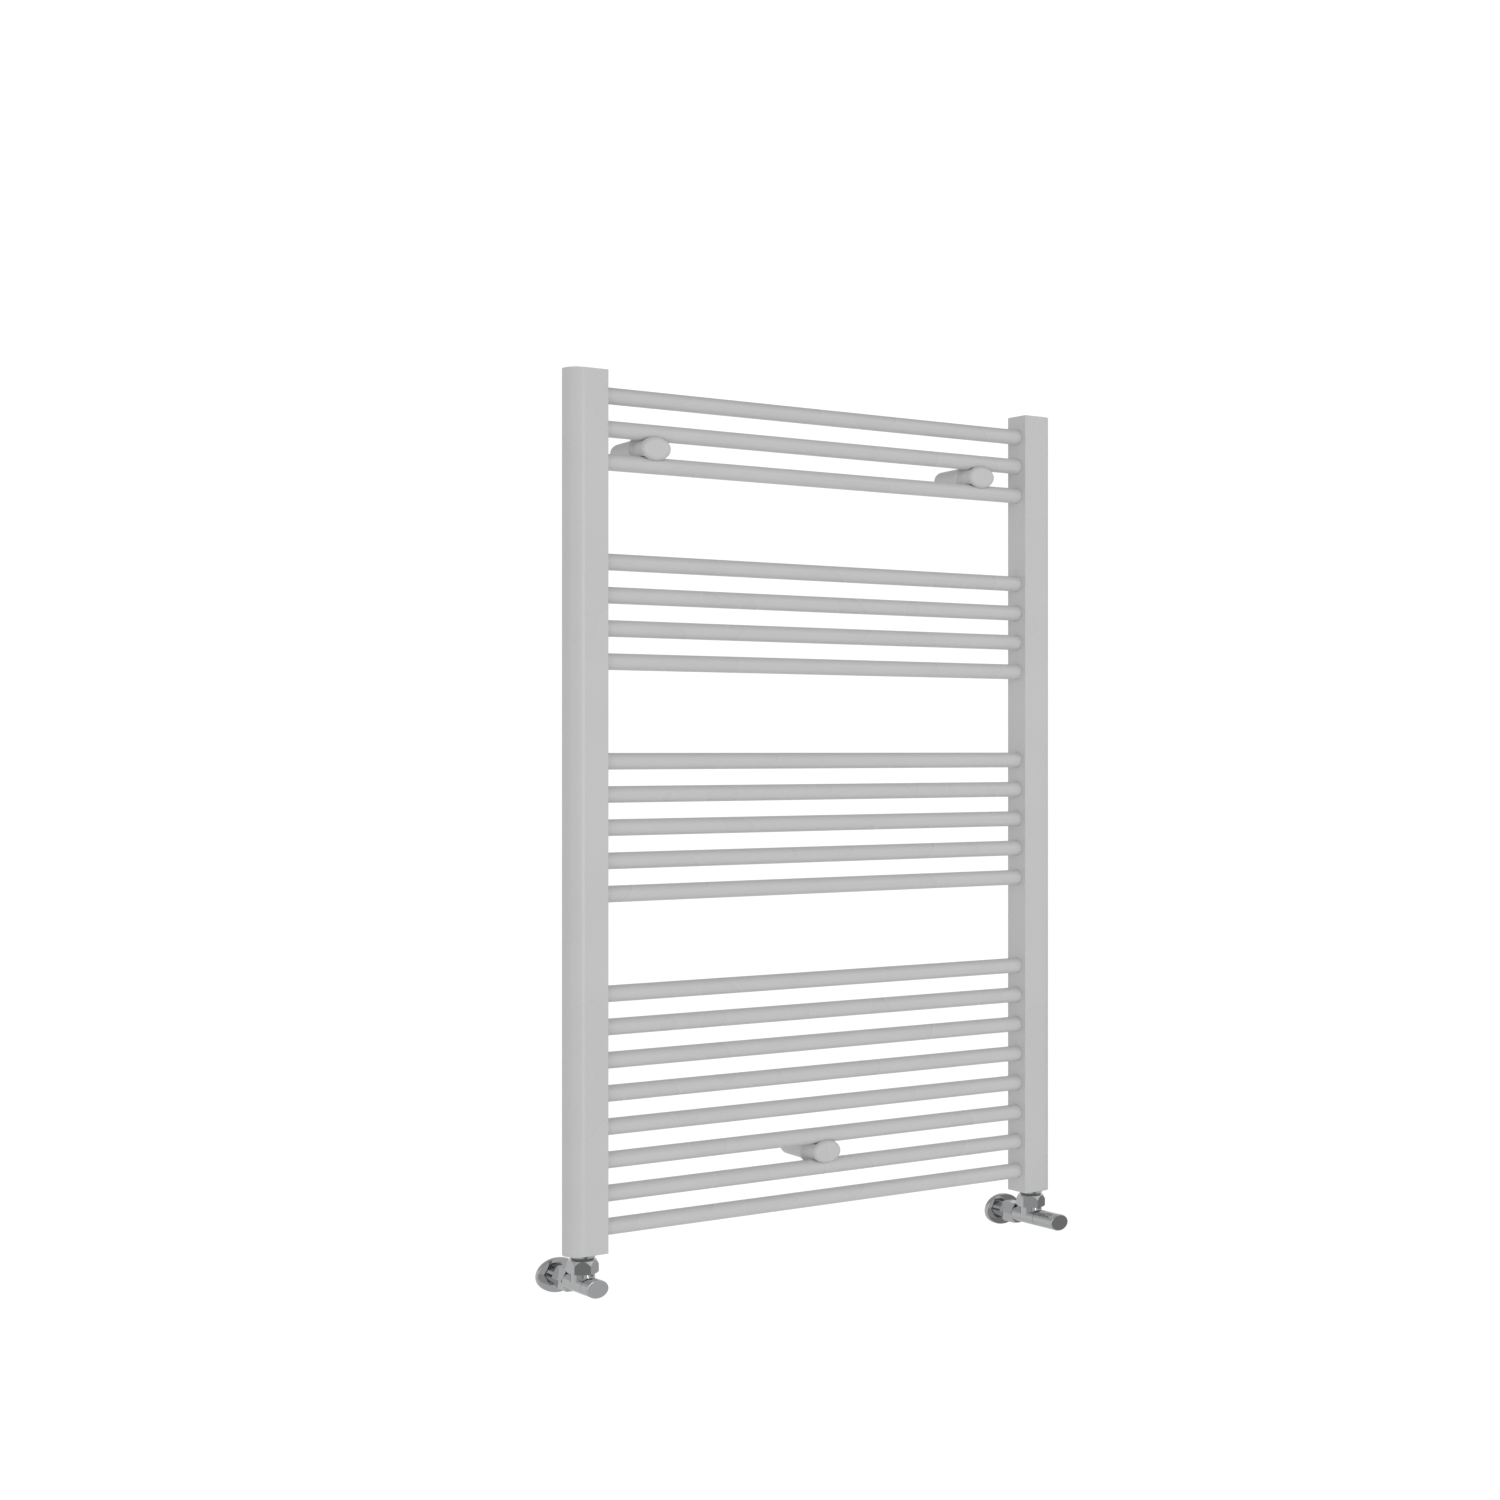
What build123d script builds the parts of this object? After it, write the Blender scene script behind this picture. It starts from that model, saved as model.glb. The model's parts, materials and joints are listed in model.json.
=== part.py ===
from build123d import *
import os

# Ladder towel radiator with a pair of angled valves, in millimetres.
# +Z is up, +X is to the right seen from the room, and +Y points into the wall.
# The origin is the middle of the lower wall bracket's foot, on the wall's face.

# Bars: round tubes in groups, counted from the lowest group up
bar_diameter = 22.0
bar_wall = 1.5
bar_pitch = 43.5
bar_counts = [8, 5, 4, 3]
group_step = 3
clear_width = 717.6
bar_insert = 4.5

# Posts: D section, flat towards the bars and round on the outer side
post_width = 55.8
post_depth = 39.6
post_wall = 2.0
post_edge_round = 1.2
post_inner_round = 0.4
post_end_margin = 31.0
post_cover_thick = 2.5

# Threaded bushes welded in the backs of the posts, with their plugs
bush_diameter = 26.0
bush_length = 12.0
bush_drop = 20.0
plug_thread = 20.8
plug_shank = 11.0
plug_head_diameter = 25.0
plug_head_thick = 4.0
plug_head_chamfer = 0.8
plug_key_flats = 8.0
plug_key_depth = 6.0
bleed_diameter = 6.0
bleed_length = 12.0
bleed_square = 5.0
bleed_square_length = 6.0

# Wall brackets: two near the top and one near the bottom
wall_distance = 72.5
bracket_bar_steps = 1.5
bracket_inset = 77.8
cap_width = 46.0
cap_height = 31.4
cap_front_reach = 16.6
cap_rear_reach = 8.6
cap_edge_round = 6.5
cap_rim = 1.0
cap_skin = 2.4
tongue_width = 43.0
flange_side_rim = 5.8
flange_top_rim = 5.1
flange_front_reach = 14.5
flange_thick = 4.0
flange_fillet = 3.8
flange_edge_round = 1.0
stand_front_width = 43.0
stand_front_height = 34.4
stand_rear_width = 40.2
stand_rear_height = 30.6
spigot_diameter = 17.0
spigot_length = 20.0
clamp_screw_diameter = 5.0
clamp_head_diameter = 8.5
clamp_head_length = 5.0
clamp_head_reach = 12.0
clamp_key_flats = 4.0
clamp_key_depth = 2.5
grub_diameter = 5.0
grub_reach = 28.0
grub_key_flats = 2.5
grub_key_depth = 2.5
stud_hole_diameter = 8.0
stud_hole_depth = 16.0

# Valves: places are reaches from the bar plane or heights above the valve axis
valve_drop = 39.2
grip_width = 33.0
grip_height = 23.7
body_front_reach = 22.0
body_rear_reach = 24.5
stem_diameter = 33.0
nut_low = 15.0
nut_high = 32.0
nut_flats = 36.8
nut_corner_cut = 2.2
nut_crown_cut = 2.8
nut_crown_drop = 6.0
nut_shoulder = 3.6
tail_thread = 20.8
tail_engagement = 14.0
tail_bore = 14.0
tail_flange_thick = 2.8
union_thread = 29.4
collar_top_diameter = 37.0
collar_low_diameter = 30.0
boss_diameter = 30.0
boss_height = 16.0
outlet_bore = 14.0
chamber_bore = 15.0
seat_reach = 8.0
seat_bore = 9.0
pipe_diameter = 15.0
pipe_stop_reach = 12.0
rear_thread = 20.8
rear_thread_length = 9.5
ring_length = 2.4
ring_diameter = 18.4
pipe_nut_flats = 29.4
pipe_nut_length = 26.5
pipe_nut_corner_cut = 2.2
pipe_nut_gap = 1.5

# Union nuts as they come to rest when tight, in degrees about the stem
nut_turns = {"left": 0.0, "right": 12.0}

# Wall rosette: an oval disc on a smaller foot, with a neck around the pipe
rosette_width = 64.4
rosette_height = 45.2
rosette_reach = 11.0
rosette_edge_round = 0.8
foot_width = 54.0
foot_height = 38.0
foot_thick = 4.4
neck_width = 29.0
neck_height = 22.0

# Head gear, spindle and plug inside each valve
gear_collar_diameter = 19.0
gear_collar_length = 6.0
gear_thread_length = 10.0
spindle_diameter = 8.0
spindle_collar_diameter = 10.4
spindle_collar_length = 3.6
spindle_tip_diameter = 6.0
spindle_tip_reach = 1.5
spindle_square = 5.6
plug_diameter = 14.2
plug_length = 10.0
plug_face = 2.0

# Hand wheel and lockshield cap
wheel_front_reach = 63.5
wheel_square_reach = 46.0
cover_front_reach = 38.5
cover_square_reach = 33.0
grip_wall = 2.0
grip_cavity_reach = 29.0
grip_edge_round = 1.1

# Hexagons: six sides, and the width over the flats is root three times the corner radius
hexagon_sides = 6
root_three = 3**0.5

# Clearances: brazed or threaded seats, turning fits, and free gaps
seat_gap = 0.1
turn_gap = 0.05
free_gap = 0.3
grip_gap = 0.4

# Places that follow from the sizes above
bar_y = -wall_distance
bar_radius = bar_diameter / 2
lowest_bar_z = -bracket_bar_steps * bar_pitch
bar_heights = []
next_height = lowest_bar_z
for bar_count in bar_counts:
    for step in range(bar_count):
        bar_heights.append(next_height + step * bar_pitch)
    next_height = bar_heights[-1] + group_step * bar_pitch
top_bar_z = bar_heights[-1]
post_low = lowest_bar_z - post_end_margin
post_high = top_bar_z + post_end_margin
inner_x = clear_width / 2
round_x = inner_x + post_width - post_depth / 2
outer_x = inner_x + post_width
post_mid_x = inner_x + post_width / 2
post_back_y = bar_y + post_depth / 2
bush_x = inner_x + bar_insert + free_gap + bush_diameter / 2
bush_z = post_high - bush_drop
valve_z = post_low - valve_drop
top_bracket_z = top_bar_z - bracket_bar_steps * bar_pitch
bracket_places = {
    "left": (bracket_inset - inner_x, top_bracket_z),
    "right": (inner_x - bracket_inset, top_bracket_z),
    "lower": (0.0, 0.0),
}
sides = {"left": -1, "right": 1}

os.makedirs("parts", exist_ok=True)


def save(piece, name):
    piece.part.label = name
    export_step(piece.part, f"parts/{name}.step")


# A plane that looks into the room: its sketch lies in X and Z, and it extrudes towards -Y
def room_plane(x, y, z):
    return Plane(origin=(x, y, z), x_dir=(1, 0, 0), z_dir=(0, -1, 0))


# The D outline of a post on one side, drawn smaller by inset on every side
def post_outline(side, inset, corner):
    flat_x = side * (inner_x + inset)
    turn_x = side * round_x
    crown_x = side * (outer_x - inset)
    half = post_depth / 2 - inset
    with BuildSketch(mode=Mode.PRIVATE) as outline:
        with BuildLine():
            Polyline((turn_x, -half), (flat_x, -half), (flat_x, half), (turn_x, half))
            ThreePointArc((turn_x, half), (crown_x, 0), (turn_x, -half))
        make_face()
        corners = outline.vertices().sort_by(Axis.X)
        fillet(corners[:2] if side > 0 else corners[-2:], corner)
    return outline.sketch


# Posts: hollow, open at both ends, drilled for the bars, with a bush in the back wall
def make_post(side, name):
    with BuildPart() as post:
        with BuildSketch(Plane.XY.offset(post_low)):
            with Locations((0, bar_y)):
                add(post_outline(side, 0, post_edge_round))
                add(post_outline(side, post_wall, post_inner_round), mode=Mode.SUBTRACT)
        extrude(amount=post_high - post_low)
        with BuildSketch(Plane.YZ.offset(side * (inner_x - bar_insert))):
            with Locations(*[(bar_y, height) for height in bar_heights]):
                Circle(bar_radius + seat_gap)
        extrude(amount=side * (2 * bar_insert), mode=Mode.SUBTRACT)
        with BuildSketch(room_plane(side * bush_x, post_back_y, bush_z)):
            Circle(bush_diameter / 2)
        extrude(amount=bush_length)
        with BuildSketch(room_plane(side * bush_x, post_back_y, bush_z)):
            Circle(plug_thread / 2 + seat_gap)
        extrude(amount=bush_length, mode=Mode.SUBTRACT)
    save(post, name)


# Top covers: plates let into the posts' upper ends
def make_post_cover(side, name):
    inset = post_wall + seat_gap
    with BuildPart() as cover:
        with BuildSketch(Plane.XY.offset(post_high - post_cover_thick)):
            with Locations((0, bar_y)):
                add(post_outline(side, inset, post_inner_round))
        extrude(amount=post_cover_thick)
    save(cover, name)


# Bottom bosses: plates let into the lower ends, with the thread for the valve's tail
def make_post_boss(side, name):
    inset = post_wall + seat_gap
    with BuildPart() as boss:
        with BuildSketch(Plane.XY.offset(post_low)):
            with Locations((0, bar_y)):
                add(post_outline(side, inset, post_inner_round))
        extrude(amount=post_cover_thick)
        with BuildSketch(Plane.XY.offset(post_low)):
            with Locations((side * post_mid_x, bar_y)):
                Circle(boss_diameter / 2)
        extrude(amount=boss_height)
        with BuildSketch(Plane.XY.offset(post_low)):
            with Locations((side * post_mid_x, bar_y)):
                Circle(tail_thread / 2 + seat_gap)
        extrude(amount=boss_height, mode=Mode.SUBTRACT)
    save(boss, name)


# Bars: open tubes that reach a little way into both posts
def make_bar(height, name):
    half_length = inner_x + bar_insert
    with BuildPart() as bar:
        with BuildSketch(Plane.YZ.offset(-half_length)):
            with Locations((bar_y, height)):
                Circle(bar_radius)
                Circle(bar_radius - bar_wall, mode=Mode.SUBTRACT)
        extrude(amount=2 * half_length)
    save(bar, name)


for side_name, side in sides.items():
    make_post(side, f"{side_name}_post")
    make_post_cover(side, f"{side_name}_post_cover")
    make_post_boss(side, f"{side_name}_post_boss")

for number, bar_height in enumerate(bar_heights, start=1):
    make_bar(bar_height, f"bar_{number:02d}")

# Air vent plug in the left post's bush, drilled for the bleed screw
with BuildPart() as vent_plug:
    with BuildSketch(room_plane(-bush_x, post_back_y, bush_z)):
        Circle(plug_thread / 2)
    extrude(amount=plug_shank)
    with BuildSketch(room_plane(-bush_x, post_back_y + plug_head_thick, bush_z)):
        Circle(plug_head_diameter / 2)
    extrude(amount=plug_head_thick)
    chamfer(vent_plug.edges().filter_by(GeomType.CIRCLE).sort_by(Axis.Y)[-1], plug_head_chamfer)
    with BuildSketch(room_plane(-bush_x, post_back_y + plug_head_thick, bush_z)):
        Circle(bleed_diameter / 2 + turn_gap)
    extrude(amount=plug_head_thick + plug_shank, mode=Mode.SUBTRACT)
save(vent_plug, "vent_plug")

# Bleed screw: a round shank with a square end for the key
with BuildPart() as bleed_screw:
    with BuildSketch(room_plane(-bush_x, post_back_y + plug_head_thick, bush_z)):
        Circle(bleed_diameter / 2)
    extrude(amount=bleed_length)
    with BuildSketch(room_plane(-bush_x, post_back_y + plug_head_thick + bleed_square_length, bush_z)):
        Rectangle(bleed_square, bleed_square)
    extrude(amount=bleed_square_length)
save(bleed_screw, "bleed_screw")

# Blanking plug in the right post's bush, with a hexagon socket
with BuildPart() as blanking_plug:
    with BuildSketch(room_plane(bush_x, post_back_y, bush_z)):
        Circle(plug_thread / 2)
    extrude(amount=plug_shank)
    with BuildSketch(room_plane(bush_x, post_back_y + plug_head_thick, bush_z)):
        Circle(plug_head_diameter / 2)
    extrude(amount=plug_head_thick)
    chamfer(blanking_plug.edges().filter_by(GeomType.CIRCLE).sort_by(Axis.Y)[-1], plug_head_chamfer)
    with BuildSketch(room_plane(bush_x, post_back_y + plug_head_thick, bush_z)):
        RegularPolygon(plug_key_flats / 2, hexagon_sides, major_radius=False)
    extrude(amount=plug_key_depth, mode=Mode.SUBTRACT)
save(blanking_plug, "blanking_plug")

# Brackets: half the room that two neighbouring bars leave, and the clamp's places
bar_offset = bar_pitch / 2
groove_radius = bar_radius + free_gap
tongue_half = bar_offset - groove_radius
cap_thick = cap_front_reach - cap_rear_reach
clamp_screw_front = bar_y - cap_front_reach + cap_skin
clamp_seat_y = bar_y + clamp_head_reach
flange_front_y = bar_y + flange_front_reach
stand_front_y = flange_front_y + flange_thick
spigot_end_y = stand_front_y + spigot_length


# The room that the two bars of a bracket take, as rods along X
def bar_grooves(x, z):
    with BuildPart(mode=Mode.PRIVATE) as grooves:
        with BuildSketch(Plane.YZ.offset(x - cap_width)):
            with Locations((bar_y, z - bar_offset), (bar_y, z + bar_offset)):
                Circle(groove_radius)
        extrude(amount=2 * cap_width)
    return grooves.part


# Front cap: an oval button that presses on both bars, tapped from behind for the clamp screw
def make_cap(x, z, name):
    with BuildPart() as cap:
        with BuildSketch(room_plane(x, bar_y - cap_rear_reach, z)):
            Ellipse(cap_width / 2, cap_height / 2)
        extrude(amount=cap_thick)
        fillet(cap.faces().sort_by(Axis.Y)[0].edges(), min(cap_edge_round, cap_thick - cap_rim))
        add(bar_grooves(x, z), mode=Mode.SUBTRACT)
        with BuildSketch(room_plane(x, bar_y - cap_rear_reach, z)):
            Circle(clamp_screw_diameter / 2 + seat_gap)
        extrude(amount=cap_thick - cap_skin + seat_gap, mode=Mode.SUBTRACT)
    save(cap, name)


# Saddle: an oval barrel up to the bars, on a wider flange, with a tongue between the bars and
# a round spigot for the stand
def make_saddle(x, z, name):
    tongue_front = bar_y - cap_rear_reach + free_gap
    with BuildPart() as saddle:
        with BuildSketch(room_plane(x, stand_front_y, z)):
            Ellipse(tongue_width / 2 + flange_side_rim, cap_height / 2 + flange_top_rim)
        extrude(amount=stand_front_y - flange_front_y)
        fillet(saddle.edges().filter_by(GeomType.ELLIPSE), flange_edge_round)
        with BuildSketch(room_plane(x, flange_front_y, z)):
            Ellipse(tongue_width / 2, cap_height / 2)
        extrude(amount=flange_front_y - bar_y)
        barrel_foot = saddle.edges().filter_by_position(Axis.Y, flange_front_y, flange_front_y)
        flat_rim = min(flange_side_rim, flange_top_rim) - flange_edge_round
        fillet(barrel_foot.sort_by(SortBy.LENGTH)[0], min(flange_fillet, flat_rim))
        with BuildSketch(room_plane(x, bar_y, z)):
            Ellipse(tongue_width / 2, cap_height / 2)
            Rectangle(tongue_width, 2 * tongue_half, mode=Mode.INTERSECT)
        extrude(amount=bar_y - tongue_front)
        add(bar_grooves(x, z), mode=Mode.SUBTRACT)
        with BuildSketch(room_plane(x, spigot_end_y, z)):
            Circle(spigot_diameter / 2)
        extrude(amount=spigot_length)
        with BuildSketch(room_plane(x, spigot_end_y, z)):
            Circle(clamp_head_diameter / 2 + free_gap)
        extrude(amount=spigot_end_y - clamp_seat_y, mode=Mode.SUBTRACT)
        with BuildSketch(room_plane(x, clamp_seat_y, z)):
            Circle(clamp_screw_diameter / 2 + free_gap)
        extrude(amount=clamp_seat_y - tongue_front, mode=Mode.SUBTRACT)
    save(saddle, name)


# Stand: a tapered oval barrel on the wall, bored for the spigot and tapped for the wall stud
def make_stand(x, z, name):
    grub_y = bar_y + grub_reach
    with BuildPart() as stand:
        with BuildSketch(room_plane(x, 0, z)):
            Ellipse(stand_rear_width / 2, stand_rear_height / 2)
        with BuildSketch(room_plane(x, stand_front_y, z)):
            Ellipse(stand_front_width / 2, stand_front_height / 2)
        loft()
        with BuildSketch(room_plane(x, spigot_end_y + free_gap, z)):
            Circle(spigot_diameter / 2 + seat_gap)
        extrude(amount=spigot_length + free_gap, mode=Mode.SUBTRACT)
        with BuildSketch(room_plane(x, 0, z)):
            Circle(stud_hole_diameter / 2)
        extrude(amount=stud_hole_depth, mode=Mode.SUBTRACT)
        with BuildSketch(Plane.XY.offset(z - stand_front_height)):
            with Locations((x, grub_y)):
                Circle(grub_diameter / 2 + seat_gap)
        extrude(amount=stand_front_height, mode=Mode.SUBTRACT)
    save(stand, name)


for place, (bracket_x, bracket_z) in bracket_places.items():
    make_cap(bracket_x, bracket_z, f"{place}_bracket_cap")
    make_saddle(bracket_x, bracket_z, f"{place}_bracket_saddle")
    make_stand(bracket_x, bracket_z, f"{place}_bracket_stand")

# Clamp screws: socket heads inside the spigots, one for each bracket
with BuildPart() as clamp_screws:
    for bracket_x, bracket_z in bracket_places.values():
        with BuildSketch(room_plane(bracket_x, clamp_seat_y + clamp_head_length, bracket_z)):
            Circle(clamp_head_diameter / 2)
        extrude(amount=clamp_head_length)
        with BuildSketch(room_plane(bracket_x, clamp_seat_y, bracket_z)):
            Circle(clamp_screw_diameter / 2)
        extrude(amount=clamp_seat_y - clamp_screw_front)
        with BuildSketch(room_plane(bracket_x, clamp_seat_y + clamp_head_length, bracket_z)):
            RegularPolygon(clamp_key_flats / 2, hexagon_sides, major_radius=False)
        extrude(amount=clamp_key_depth, mode=Mode.SUBTRACT)
save(clamp_screws, "bracket_clamp_screws")

# Grub screws: from under each stand up to its spigot
with BuildPart() as grub_screws:
    grub_y = bar_y + grub_reach
    grub_length = (stand_rear_height - spigot_diameter) / 2
    for bracket_x, bracket_z in bracket_places.values():
        grub_top = bracket_z - spigot_diameter / 2 - turn_gap
        with BuildSketch(Plane.XY.offset(grub_top - grub_length)):
            with Locations((bracket_x, grub_y)):
                Circle(grub_diameter / 2)
        extrude(amount=grub_length)
        with BuildSketch(Plane.XY.offset(grub_top - grub_length)):
            with Locations((bracket_x, grub_y)):
                RegularPolygon(grub_key_flats / 2, hexagon_sides, major_radius=False)
        extrude(amount=grub_key_depth, mode=Mode.SUBTRACT)
save(grub_screws, "bracket_grub_screws")

# Valves: the places along the axis, as Y values, and up the stem, as heights
body_front_y = bar_y - body_front_reach
body_rear_y = bar_y + body_rear_reach
thread_end_y = body_rear_y + rear_thread_length
ring_end_y = thread_end_y + ring_length
pipe_nut_front_y = body_rear_y + pipe_nut_gap
pipe_nut_end_y = pipe_nut_front_y + pipe_nut_length
pipe_stop_y = bar_y + pipe_stop_reach
seat_y = bar_y + seat_reach
pipe_bore_radius = pipe_diameter / 2 + seat_gap
shoulder_z = valve_z + nut_high - nut_shoulder
flange_low_z = shoulder_z - tail_flange_thick


# Body: an oval bar along Y, a stem up to the union, a threaded rear end and the water ways
def make_body(x, name):
    with BuildPart() as body:
        with BuildSketch(room_plane(x, body_rear_y, valve_z)):
            Ellipse(grip_width / 2, grip_height / 2)
        extrude(amount=body_rear_y - body_front_y)
        with BuildSketch(Plane.XY.offset(valve_z)):
            with Locations((x, bar_y)):
                Circle(stem_diameter / 2)
        extrude(amount=nut_low - free_gap)
        with BuildSketch(Plane.XY.offset(valve_z)):
            with Locations((x, bar_y)):
                Circle(union_thread / 2)
        extrude(amount=flange_low_z - valve_z)
        with BuildSketch(room_plane(x, thread_end_y, valve_z)):
            Circle(rear_thread / 2)
        extrude(amount=rear_thread_length)
        with BuildSketch(room_plane(x, thread_end_y, valve_z)):
            Circle(pipe_bore_radius)
        extrude(amount=thread_end_y - pipe_stop_y, mode=Mode.SUBTRACT)
        with BuildSketch(room_plane(x, pipe_stop_y, valve_z)):
            Circle(seat_bore / 2)
        extrude(amount=pipe_stop_y - seat_y, mode=Mode.SUBTRACT)
        with BuildSketch(room_plane(x, seat_y, valve_z)):
            Circle(chamber_bore / 2)
        extrude(amount=seat_y - body_front_y, mode=Mode.SUBTRACT)
        with BuildSketch(Plane.XY.offset(valve_z)):
            with Locations((x, bar_y)):
                Circle(outlet_bore / 2)
        extrude(amount=flange_low_z - valve_z, mode=Mode.SUBTRACT)
    save(body, name)


# A hexagonal bar along a plane's normal, with its corners turned off at both ends, as nuts have:
# a shallow cone at the near end, and a cone of its own cut and drop at the far end
def hexagon_blank(plane, flats, length, corner_cut, crown_cut, crown_drop):
    corner_radius = flats / root_three
    with BuildPart(mode=Mode.PRIVATE) as blank:
        with BuildSketch(plane):
            RegularPolygon(flats / 2, hexagon_sides, major_radius=False)
        extrude(amount=length)
        with BuildSketch(Plane(origin=plane.origin, x_dir=plane.x_dir, z_dir=-plane.y_dir)):
            with BuildLine():
                Polyline(
                    (0, 0),
                    (corner_radius - corner_cut, 0),
                    (corner_radius, corner_cut / root_three),
                    (corner_radius, length - crown_drop),
                    (corner_radius - crown_cut, length),
                    (0, length),
                    close=True,
                )
            make_face()
        revolve(axis=Axis(plane.origin, plane.z_dir), mode=Mode.INTERSECT)
    return blank.part


# Union nut: hexagonal, with a tapered crown and a shoulder that lifts the tail's flange
def make_union_nut(x, turn, name):
    square_plane = Plane(origin=(x, bar_y, valve_z + nut_low), x_dir=(0, 1, 0), z_dir=(0, 0, 1))
    seat_plane = square_plane.rotated((0, 0, -turn))
    nut_length = nut_high - nut_low
    with BuildPart() as nut:
        add(hexagon_blank(seat_plane, nut_flats, nut_length, nut_corner_cut, nut_crown_cut, nut_crown_drop))
        with BuildSketch(Plane.XY.offset(valve_z + nut_low)):
            with Locations((x, bar_y)):
                Circle(union_thread / 2 + free_gap)
        extrude(amount=shoulder_z - valve_z - nut_low, mode=Mode.SUBTRACT)
        with BuildSketch(Plane.XY.offset(shoulder_z)):
            with Locations((x, bar_y)):
                Circle(tail_thread / 2 + free_gap)
        extrude(amount=nut_shoulder, mode=Mode.SUBTRACT)
    save(nut, name)


# Union tail: a flange under the nut's shoulder and a threaded tube up into the post's boss
def make_union_tail(x, name):
    with BuildPart() as tail:
        with BuildSketch(Plane.XY.offset(flange_low_z)):
            with Locations((x, bar_y)):
                Circle(union_thread / 2)
        extrude(amount=tail_flange_thick)
        with BuildSketch(Plane.XY.offset(flange_low_z)):
            with Locations((x, bar_y)):
                Circle(tail_thread / 2)
        extrude(amount=post_low + tail_engagement - flange_low_z)
        with BuildSketch(Plane.XY.offset(flange_low_z)):
            with Locations((x, bar_y)):
                Circle(tail_bore / 2)
        extrude(amount=post_low + tail_engagement - flange_low_z, mode=Mode.SUBTRACT)
    save(tail, name)


# Compression nut: hexagonal, threaded over the body's rear end, with a hole for the pipe
def make_pipe_nut(x, name):
    end_plane = room_plane(x, pipe_nut_end_y, valve_z)
    cut = pipe_nut_corner_cut
    with BuildPart() as nut:
        add(hexagon_blank(end_plane, pipe_nut_flats, pipe_nut_length, cut, cut, cut / root_three))
        with BuildSketch(room_plane(x, ring_end_y, valve_z)):
            Circle(rear_thread / 2 + free_gap)
        extrude(amount=ring_end_y - pipe_nut_front_y, mode=Mode.SUBTRACT)
        with BuildSketch(room_plane(x, pipe_nut_end_y, valve_z)):
            Circle(pipe_bore_radius + seat_gap)
        extrude(amount=pipe_nut_end_y - ring_end_y, mode=Mode.SUBTRACT)
    save(nut, name)


# Rosette: a flat oval disc on a foot at the wall, with a neck around the pipe, up to the nut
def make_rosette(x, name):
    face_y = -rosette_reach
    with BuildPart() as rosette:
        with BuildSketch(room_plane(x, -foot_thick, valve_z)):
            Ellipse(rosette_width / 2, rosette_height / 2)
        extrude(amount=rosette_reach - foot_thick)
        fillet(rosette.edges().filter_by(GeomType.ELLIPSE), rosette_edge_round)
        with BuildSketch(room_plane(x, 0, valve_z)):
            Ellipse(foot_width / 2, foot_height / 2)
        extrude(amount=foot_thick)
        with BuildSketch(room_plane(x, face_y, valve_z)):
            Ellipse(neck_width / 2, neck_height / 2)
        extrude(amount=face_y - pipe_nut_end_y)
        with BuildSketch(room_plane(x, 0, valve_z)):
            Circle(pipe_bore_radius + seat_gap)
        extrude(amount=-pipe_nut_end_y, mode=Mode.SUBTRACT)
    save(rosette, name)


# Head gear: screwed into the body's front, it carries the spindle
def make_head_gear(x, name):
    collar_front_y = body_front_y - gear_collar_length
    inner_y = body_front_y + gear_thread_length
    with BuildPart() as gear:
        with BuildSketch(room_plane(x, body_front_y, valve_z)):
            Circle(gear_collar_diameter / 2)
        extrude(amount=gear_collar_length)
        with BuildSketch(room_plane(x, inner_y, valve_z)):
            Circle(chamber_bore / 2 - seat_gap)
        extrude(amount=gear_thread_length)
        with BuildSketch(room_plane(x, inner_y, valve_z)):
            Circle(spindle_diameter / 2 + turn_gap)
        extrude(amount=inner_y - collar_front_y, mode=Mode.SUBTRACT)
        with BuildSketch(room_plane(x, inner_y, valve_z)):
            Circle(spindle_collar_diameter / 2 + turn_gap)
        extrude(amount=spindle_collar_length + free_gap, mode=Mode.SUBTRACT)
    save(gear, name)


# Spindle: a square outer end, a collar inside the head gear and a threaded tip in the plug
def make_spindle(x, square_reach, name):
    inner_y = body_front_y + gear_thread_length
    collar_front_y = body_front_y - gear_collar_length
    tip_end_y = bar_y + spindle_tip_reach
    with BuildPart() as spindle:
        with BuildSketch(room_plane(x, tip_end_y, valve_z)):
            Circle(spindle_tip_diameter / 2)
        extrude(amount=tip_end_y - inner_y)
        with BuildSketch(room_plane(x, inner_y, valve_z)):
            Circle(spindle_collar_diameter / 2)
        extrude(amount=spindle_collar_length)
        with BuildSketch(room_plane(x, inner_y, valve_z)):
            Circle(spindle_diameter / 2)
        extrude(amount=inner_y - collar_front_y)
        with BuildSketch(room_plane(x, collar_front_y, valve_z)):
            Rectangle(spindle_square, spindle_square)
        extrude(amount=collar_front_y - (bar_y - square_reach))
    save(spindle, name)


# Plug: shut against the seat at rest, tapped for the spindle's tip
def make_plug(x, name):
    front_y = seat_y - plug_length
    with BuildPart() as plug:
        with BuildSketch(room_plane(x, seat_y, valve_z)):
            Circle(plug_diameter / 2)
        extrude(amount=plug_length)
        with BuildSketch(room_plane(x, seat_y - plug_face, valve_z)):
            Circle(spindle_tip_diameter / 2 + turn_gap)
        extrude(amount=seat_y - plug_face - front_y, mode=Mode.SUBTRACT)
    save(plug, name)


# The oval shell that the hand wheel and the lockshield cap share, open towards the body
def grip_shell(x, front_reach, cavity_reach):
    rear_y = body_front_y - grip_gap
    with BuildPart(mode=Mode.PRIVATE) as shell:
        with BuildSketch(room_plane(x, rear_y, valve_z)):
            Ellipse(grip_width / 2, grip_height / 2)
        extrude(amount=rear_y - (bar_y - front_reach))
        fillet(shell.faces().sort_by(Axis.Y)[0].edges(), grip_edge_round)
        with BuildSketch(room_plane(x, rear_y, valve_z)):
            Ellipse(grip_width / 2 - grip_wall, grip_height / 2 - grip_wall)
        extrude(amount=rear_y - (bar_y - cavity_reach), mode=Mode.SUBTRACT)
    return shell.part


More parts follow.
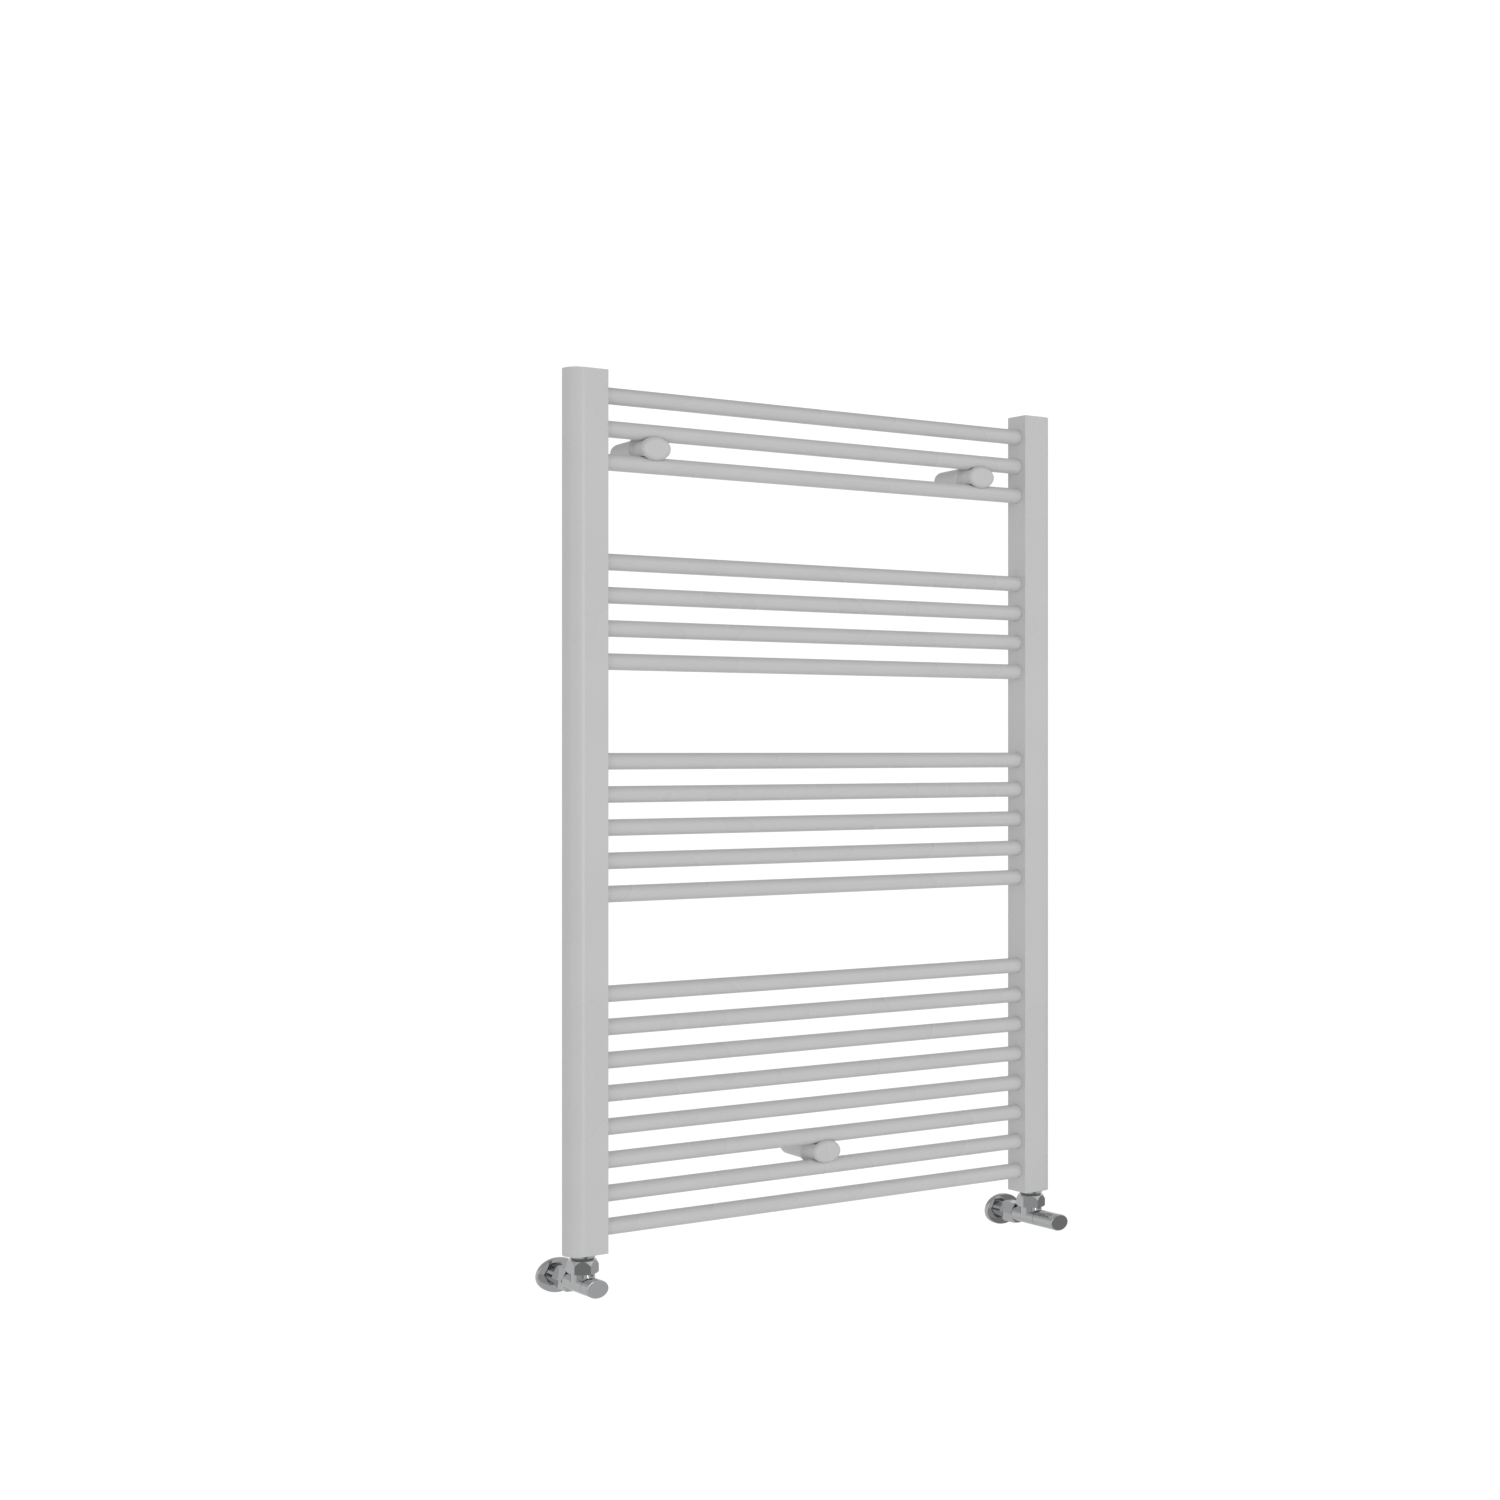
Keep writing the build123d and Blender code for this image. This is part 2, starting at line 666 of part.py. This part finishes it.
for side_name, side in sides.items():
    valve_x = side * post_mid_x
    make_body(valve_x, f"{side_name}_valve_body")
    make_union_nut(valve_x, nut_turns[side_name], f"{side_name}_union_nut")
    make_union_tail(valve_x, f"{side_name}_union_tail")
    make_pipe_nut(valve_x, f"{side_name}_compression_nut")
    make_rosette(valve_x, f"{side_name}_rosette")
    make_head_gear(valve_x, f"{side_name}_head_gear")
    make_plug(valve_x, f"{side_name}_valve_plug")

make_spindle(post_mid_x, wheel_square_reach, "right_spindle")
make_spindle(-post_mid_x, cover_square_reach, "left_spindle")

# Collars: cones on the tails, between the union nuts and the posts
with BuildPart() as tail_collars:
    for side in sides.values():
        with BuildSketch(Plane.XY.offset(valve_z + nut_high)):
            with Locations((side * post_mid_x, bar_y)):
                Circle(collar_low_diameter / 2)
        with BuildSketch(Plane.XY.offset(post_low)):
            with Locations((side * post_mid_x, bar_y)):
                Circle(collar_top_diameter / 2)
        loft()
        with BuildSketch(Plane.XY.offset(valve_z + nut_high)):
            with Locations((side * post_mid_x, bar_y)):
                Circle(tail_thread / 2 + free_gap)
        extrude(amount=valve_drop - nut_high, mode=Mode.SUBTRACT)
save(tail_collars, "tail_collars")

# Compression rings: squeezed between the bodies and the nuts, around the pipes
with BuildPart() as compression_rings:
    for side in sides.values():
        with BuildSketch(room_plane(side * post_mid_x, ring_end_y, valve_z)):
            Circle(ring_diameter / 2)
            Circle(pipe_bore_radius, mode=Mode.SUBTRACT)
        extrude(amount=ring_length)
save(compression_rings, "compression_rings")

# Hand wheel: the long oval grip of the right valve, with a square socket for its spindle
with BuildPart() as hand_wheel:
    add(grip_shell(post_mid_x, wheel_front_reach, grip_cavity_reach))
    with BuildSketch(room_plane(post_mid_x, bar_y - grip_cavity_reach, valve_z)):
        Rectangle(spindle_square + 2 * turn_gap, spindle_square + 2 * turn_gap)
    extrude(amount=wheel_square_reach + free_gap - grip_cavity_reach, mode=Mode.SUBTRACT)
save(hand_wheel, "hand_wheel")

# Lockshield cap: the short oval cover over the left valve's spindle
with BuildPart() as lockshield_cap:
    add(grip_shell(-post_mid_x, cover_front_reach, cover_front_reach - grip_wall))
save(lockshield_cap, "lockshield_cap")
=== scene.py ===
import json
import math

import bmesh
import bpy
from mathutils import Matrix, Vector


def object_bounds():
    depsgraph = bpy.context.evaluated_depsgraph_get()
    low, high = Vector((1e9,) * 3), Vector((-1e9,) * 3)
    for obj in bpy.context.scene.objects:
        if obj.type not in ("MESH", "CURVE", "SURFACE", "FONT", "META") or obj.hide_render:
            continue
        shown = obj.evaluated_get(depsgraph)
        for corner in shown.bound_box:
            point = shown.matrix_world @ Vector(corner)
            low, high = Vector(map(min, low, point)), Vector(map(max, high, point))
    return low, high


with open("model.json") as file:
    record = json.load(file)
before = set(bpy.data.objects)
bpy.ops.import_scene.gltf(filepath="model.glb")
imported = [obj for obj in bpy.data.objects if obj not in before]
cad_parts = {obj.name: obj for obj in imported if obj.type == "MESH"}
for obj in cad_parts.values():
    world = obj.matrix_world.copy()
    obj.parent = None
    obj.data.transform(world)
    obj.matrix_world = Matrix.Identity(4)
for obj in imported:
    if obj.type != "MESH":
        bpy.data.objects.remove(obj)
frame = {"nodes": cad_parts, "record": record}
cad_low, cad_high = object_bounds()
nodes = frame["nodes"]
middle = (cad_low + cad_high) / 2
mm = 0.001


def linear(hex_colour):
    """An sRGB hex value as the linear colour that a shader takes."""
    values = [int(hex_colour[i:i + 2], 16) / 255 for i in (1, 3, 5)]
    return [v / 12.92 if v <= 0.04045 else ((v + 0.055) / 1.055) ** 2.4 for v in values] + [1.0]


def add_node(tree, kind, inputs=None, **settings):
    """One node: settings as keywords, and inputs as socket to a value or to another node's output."""
    made = tree.nodes.new(kind)
    for name, value in settings.items():
        setattr(made, name, value)
    for socket, value in (inputs or {}).items():
        if isinstance(value, bpy.types.NodeSocket):
            tree.links.new(value, made.inputs[socket])
        else:
            made.inputs[socket].default_value = value
    return made


def colour_stops(ramp, stops):
    """Gives a colour ramp its stops, each a position and a colour."""
    elements = ramp.color_ramp.elements
    while len(elements) < len(stops):
        elements.new(0.5)
    for element, (position, colour) in zip(elements, stops):
        element.position = position
        element.color = colour


def noise_scale(size_mm):
    """The scale that draws a noise's patches at this size."""
    return 1 / (size_mm * mm)


def wave_scale(spacing_mm):
    """The scale that draws a wave's bands at this spacing."""
    # At a scale of 1, a wave runs 20 radians to the metre
    unit_run = 20
    return math.tau / unit_run / (spacing_mm * mm)


def new_material(name):
    """An empty node material and its tree."""
    material = bpy.data.materials.new(name)
    material.use_nodes = True
    material.node_tree.nodes.clear()
    return material, material.node_tree


def finish_surface(tree, inputs):
    """A material's Principled surface with these inputs, wired to its output."""
    shader = add_node(tree, "ShaderNodeBsdfPrincipled", inputs)
    add_node(tree, "ShaderNodeOutputMaterial", {"Surface": shader.outputs["BSDF"]})


def powder_coat():
    """White polyester powder, baked on steel: an even pale coat with a satin gloss, the faint waviness of
    orange peel, and a slightly thicker, whiter film here and there."""
    film_drift_mm = 70
    # Really 1 to 2 mm across, drawn coarser so that it shows in the render
    orange_peel_mm = 4
    material, tree = new_material("powder_coated_steel")
    place = add_node(tree, "ShaderNodeTexCoord").outputs["Object"]
    film = add_node(tree, "ShaderNodeTexNoise", {
        "Vector": place, "Scale": noise_scale(film_drift_mm), "Detail": 0.0})
    tint = add_node(tree, "ShaderNodeValToRGB", {"Fac": film.outputs["Fac"]})
    colour_stops(tint, [(0.30, linear("#d6d6d6")), (0.72, linear("#d8d8d8"))])
    gloss = add_node(tree, "ShaderNodeMapRange", {
        "Value": film.outputs["Fac"], "From Min": 0.3, "From Max": 0.7, "To Min": 0.27, "To Max": 0.29})
    peel = add_node(tree, "ShaderNodeTexNoise", {
        "Vector": place, "Scale": noise_scale(orange_peel_mm), "Detail": 1.0, "Roughness": 0.4})
    bump = add_node(tree, "ShaderNodeBump", {
        "Height": peel.outputs["Fac"], "Strength": 0.25, "Distance": 0.12 * mm})
    finish_surface(tree, {
        "Base Color": tint.outputs["Color"],
        "Roughness": gloss.outputs["Result"],
        "Normal": bump.outputs["Normal"],
    })
    return material


def polished_chrome():
    """Chrome plate over polished brass: a neutral mirror, with wipe marks that dull it a little in patches
    and the slight waves of the buffed casting under the plate."""
    wipe_mark_mm = 15
    buffing_wave_mm = 6
    material, tree = new_material("polished_chrome_plate")
    place = add_node(tree, "ShaderNodeTexCoord").outputs["Object"]
    marks = add_node(tree, "ShaderNodeTexNoise", {
        "Vector": place, "Scale": noise_scale(wipe_mark_mm), "Detail": 4.0, "Roughness": 0.6})
    dull = add_node(tree, "ShaderNodeMapRange", {
        "Value": marks.outputs["Fac"], "From Min": 0.35, "From Max": 0.75, "To Min": 0.045, "To Max": 0.10})
    waves = add_node(tree, "ShaderNodeTexNoise", {
        "Vector": place, "Scale": noise_scale(buffing_wave_mm), "Detail": 0.0})
    bump = add_node(tree, "ShaderNodeBump", {
        "Height": waves.outputs["Fac"], "Strength": 0.10, "Distance": 0.08 * mm})
    finish_surface(tree, {
        "Base Color": linear("#c6c7c8"),
        "Metallic": 1.0,
        "Roughness": dull.outputs["Result"],
        "Normal": bump.outputs["Normal"],
    })
    return material


def turned_brass():
    """Bare brass bar, turned on a lathe along Y: a warm metal, tarnished in spots, with fine tool rings."""
    tarnish_mm = 4.5
    # Really 0.2 mm apart, drawn wider so that they show in the render
    tool_ring_mm = 1.4
    material, tree = new_material("turned_brass")
    place = add_node(tree, "ShaderNodeTexCoord").outputs["Object"]
    tarnish = add_node(tree, "ShaderNodeTexNoise", {
        "Vector": place, "Scale": noise_scale(tarnish_mm), "Detail": 3.0})
    tint = add_node(tree, "ShaderNodeValToRGB", {"Fac": tarnish.outputs["Fac"]})
    colour_stops(tint, [(0.35, linear("#b8923f")), (0.70, linear("#d6b462"))])
    rings = add_node(tree, "ShaderNodeTexWave", {
        "Vector": place, "Scale": wave_scale(tool_ring_mm), "Distortion": 0.6}, bands_direction="Y")
    gloss = add_node(tree, "ShaderNodeMapRange", {
        "Value": rings.outputs["Fac"], "To Min": 0.20, "To Max": 0.34})
    bump = add_node(tree, "ShaderNodeBump", {
        "Height": rings.outputs["Fac"], "Strength": 0.3, "Distance": 0.06 * mm})
    finish_surface(tree, {
        "Base Color": tint.outputs["Color"],
        "Metallic": 1.0,
        "Roughness": gloss.outputs["Result"],
        "Normal": bump.outputs["Normal"],
    })
    return material


def zinc_plate():
    """Bright zinc on steel screws: a cool, slightly cloudy metal."""
    cloud_mm = 2.5
    material, tree = new_material("zinc_plated_steel")
    place = add_node(tree, "ShaderNodeTexCoord").outputs["Object"]
    clouds = add_node(tree, "ShaderNodeTexNoise", {
        "Vector": place, "Scale": noise_scale(cloud_mm), "Detail": 3.0})
    tint = add_node(tree, "ShaderNodeValToRGB", {"Fac": clouds.outputs["Fac"]})
    colour_stops(tint, [(0.35, linear("#a9adb3")), (0.70, linear("#c9ccd0"))])
    gloss = add_node(tree, "ShaderNodeMapRange", {
        "Value": clouds.outputs["Fac"], "To Min": 0.28, "To Max": 0.42})
    finish_surface(tree, {
        "Base Color": tint.outputs["Color"],
        "Metallic": 1.0,
        "Roughness": gloss.outputs["Result"],
    })
    return material


def moulded_rubber():
    """EPDM rubber, moulded: near black and dull, with a fine grain."""
    grain_mm = 0.7
    material, tree = new_material("moulded_rubber")
    place = add_node(tree, "ShaderNodeTexCoord").outputs["Object"]
    grain = add_node(tree, "ShaderNodeTexNoise", {
        "Vector": place, "Scale": noise_scale(grain_mm), "Detail": 2.0})
    tint = add_node(tree, "ShaderNodeValToRGB", {"Fac": grain.outputs["Fac"]})
    colour_stops(tint, [(0.0, linear("#151516")), (1.0, linear("#262628"))])
    bump = add_node(tree, "ShaderNodeBump", {
        "Height": grain.outputs["Fac"], "Strength": 0.3, "Distance": 0.05 * mm})
    finish_surface(tree, {
        "Base Color": tint.outputs["Color"],
        "Roughness": 0.75,
        "IOR": 1.52,
        "Normal": bump.outputs["Normal"],
    })
    return material


def white_paper():
    """Seamless studio paper under flat light: plain white, with no shade of its own."""
    material, tree = new_material("white_paper_sweep")
    light = add_node(tree, "ShaderNodeEmission", {"Color": linear("#ffffff"), "Strength": 1.05})
    add_node(tree, "ShaderNodeOutputMaterial", {"Surface": light.outputs["Emission"]})
    return material


finishes = {
    "painted_steel": powder_coat(),
    "chrome": polished_chrome(),
    "brass": turned_brass(),
    "zinc_steel": zinc_plate(),
    "seal_rubber": moulded_rubber(),
}
for subpart in frame["record"]["subparts"]:
    piece = nodes[subpart["node"]]
    piece.data.materials.clear()
    piece.data.materials.append(finishes[subpart["material_slot"]])

# The white paper sweep: a floor below the radiator and a backdrop all round.
# Only the camera sees it, so the grey studio lights the radiator.
paper = white_paper()
floor_drop = 0.16
floor_radius = 19.0
backdrop_radius = 20.0


def stage_piece(name, shape):
    """A mesh of the sweep, which the camera sees and no other ray meets."""
    mesh = bpy.data.meshes.new(name)
    shape.to_mesh(mesh)
    shape.free()
    mesh.materials.append(paper)
    made = bpy.data.objects.new(name, mesh)
    bpy.context.scene.collection.objects.link(made)
    made.visible_diffuse = False
    made.visible_glossy = False
    made.visible_transmission = False
    made.visible_shadow = False


floor_place = Matrix.Translation((0, 0, cad_low.z - floor_drop))
floor_shape = bmesh.new()
bmesh.ops.create_circle(floor_shape, cap_ends=True, segments=64, radius=floor_radius, matrix=floor_place)
stage_piece("floor", floor_shape)
backdrop_shape = bmesh.new()
bmesh.ops.create_icosphere(backdrop_shape, subdivisions=4, radius=backdrop_radius)
stage_piece("backdrop", backdrop_shape)

# The grey studio: a pale wall behind the radiator, and in front pale walls over a darker floor
world = bpy.data.worlds.new("studio")
bpy.context.scene.world = world
world.use_nodes = True
studio = world.node_tree
studio.nodes.clear()
direction = add_node(studio, "ShaderNodeTexCoord").outputs["Generated"]
along = add_node(studio, "ShaderNodeSeparateXYZ", {"Vector": direction}).outputs


def studio_side(levels):
    """One side of the room, as pairs of height and grey, from straight down at -1 to straight up at 1."""
    height = add_node(studio, "ShaderNodeMapRange", {"Value": along["Z"], "From Min": -1.0, "From Max": 1.0})
    ramp = add_node(studio, "ShaderNodeValToRGB", {"Fac": height.outputs["Result"]})
    ramp.color_ramp.interpolation = "EASE"
    colour_stops(ramp, [((level + 1) / 2, (grey, grey, grey, 1.0)) for level, grey in levels])
    return ramp.outputs["Color"]


def turn_between(value, start, end):
    """A smooth step from 0 to 1 as the value goes from start to end."""
    step = add_node(studio, "ShaderNodeMapRange", {"Value": value, "From Min": start, "From Max": end},
                    interpolation_type="SMOOTHSTEP")
    return step.outputs["Result"]


def mix_walls(factor, first, second):
    """From the first brightness to the second, by the factor."""
    mixed = add_node(studio, "ShaderNodeMix", {"Factor": factor, "A": first, "B": second}, data_type="RGBA")
    return mixed.outputs["Result"]


left_wall = studio_side([
    (-1.0, 0.57), (-0.38, 0.58), (-0.27, 0.42), (-0.11, 0.42), (0.0, 0.66), (0.42, 0.74), (0.90, 0.24)])
right_wall = studio_side([
    (-1.0, 0.57), (-0.38, 0.58), (-0.27, 0.25), (-0.11, 0.25), (0.0, 0.79), (0.42, 0.86), (0.90, 0.26)])
back_wall = studio_side([
    (-1.0, 0.46), (-0.70, 0.62), (-0.24, 0.70), (0.24, 0.71), (0.40, 0.54), (1.0, 0.22)])
front_wall = mix_walls(turn_between(along["X"], start=-0.66, end=-0.48), left_wall, right_wall)
room = mix_walls(turn_between(along["Y"], start=-0.25, end=0.25), front_wall, back_wall)

# A dark corner of the studio, beside the camera, which the polished faces mirror
corner_grey = (0.05, 0.05, 0.05, 1.0)
corner_way = Vector((-0.588, -0.809, 0.017))
corner_edge = math.cos(math.radians(11))
corner_core = math.cos(math.radians(7))
corner = add_node(studio, "ShaderNodeVectorMath", {0: direction, 1: corner_way}, operation="DOT_PRODUCT")
corner_shade = turn_between(corner.outputs["Value"], start=corner_edge, end=corner_core)
glow = add_node(studio, "ShaderNodeBackground", {"Color": mix_walls(corner_shade, room, corner_grey)})
add_node(studio, "ShaderNodeOutputWorld", {"Surface": glow.outputs["Background"]})


def softbox(name, place, width, height, radiance, mirrored=True):
    """A rectangular soft light that faces the radiator's middle, given by the brightness of its face.
    One that isn't mirrored lights the paint, and gloss and polish don't show it."""
    # An area lamp's face is as bright as a quarter of its energy, spread over the face
    energy_share = 4
    lamp = bpy.data.lights.new(name, "AREA")
    lamp.shape = "RECTANGLE"
    lamp.size = width
    lamp.size_y = height
    lamp.energy = energy_share * radiance * width * height
    made = bpy.data.objects.new(name, lamp)
    bpy.context.scene.collection.objects.link(made)
    made.location = place
    made.rotation_euler = (Vector(place) - middle).to_track_quat("Z", "Y").to_euler()
    made.visible_glossy = mirrored


softbox("key_softbox", (-18.3, -15.3, 1.0), width=15.0, height=15.0, radiance=0.75, mirrored=False)
softbox("strip_softbox", (0.645, -3.5, 0.6), width=0.5, height=2.0, radiance=3.0)
softbox("strip_foot", (0.645, -3.5, -0.7), width=0.5, height=0.6, radiance=1.4)
softbox("low_card", (0.33, -3.6, -1.1), width=4.2, height=1.3, radiance=0.25)

# The camera stands at the left, level, at about half of the radiator's height
camera_turn = -34.66
camera_data = bpy.data.cameras.new("photo_camera")
camera_data.sensor_width = 36.0
camera_data.lens = 55.33
camera_data.clip_end = 100.0
camera = bpy.data.objects.new("photo_camera", camera_data)
bpy.context.scene.collection.objects.link(camera)
camera.location = (-1.9121, -2.6616, 0.5585)
camera.rotation_euler = (math.radians(90), 0, math.radians(camera_turn))
bpy.context.scene.camera = camera

bpy.context.scene.view_settings.view_transform = "Standard"
bpy.context.scene.view_settings.look = "None"
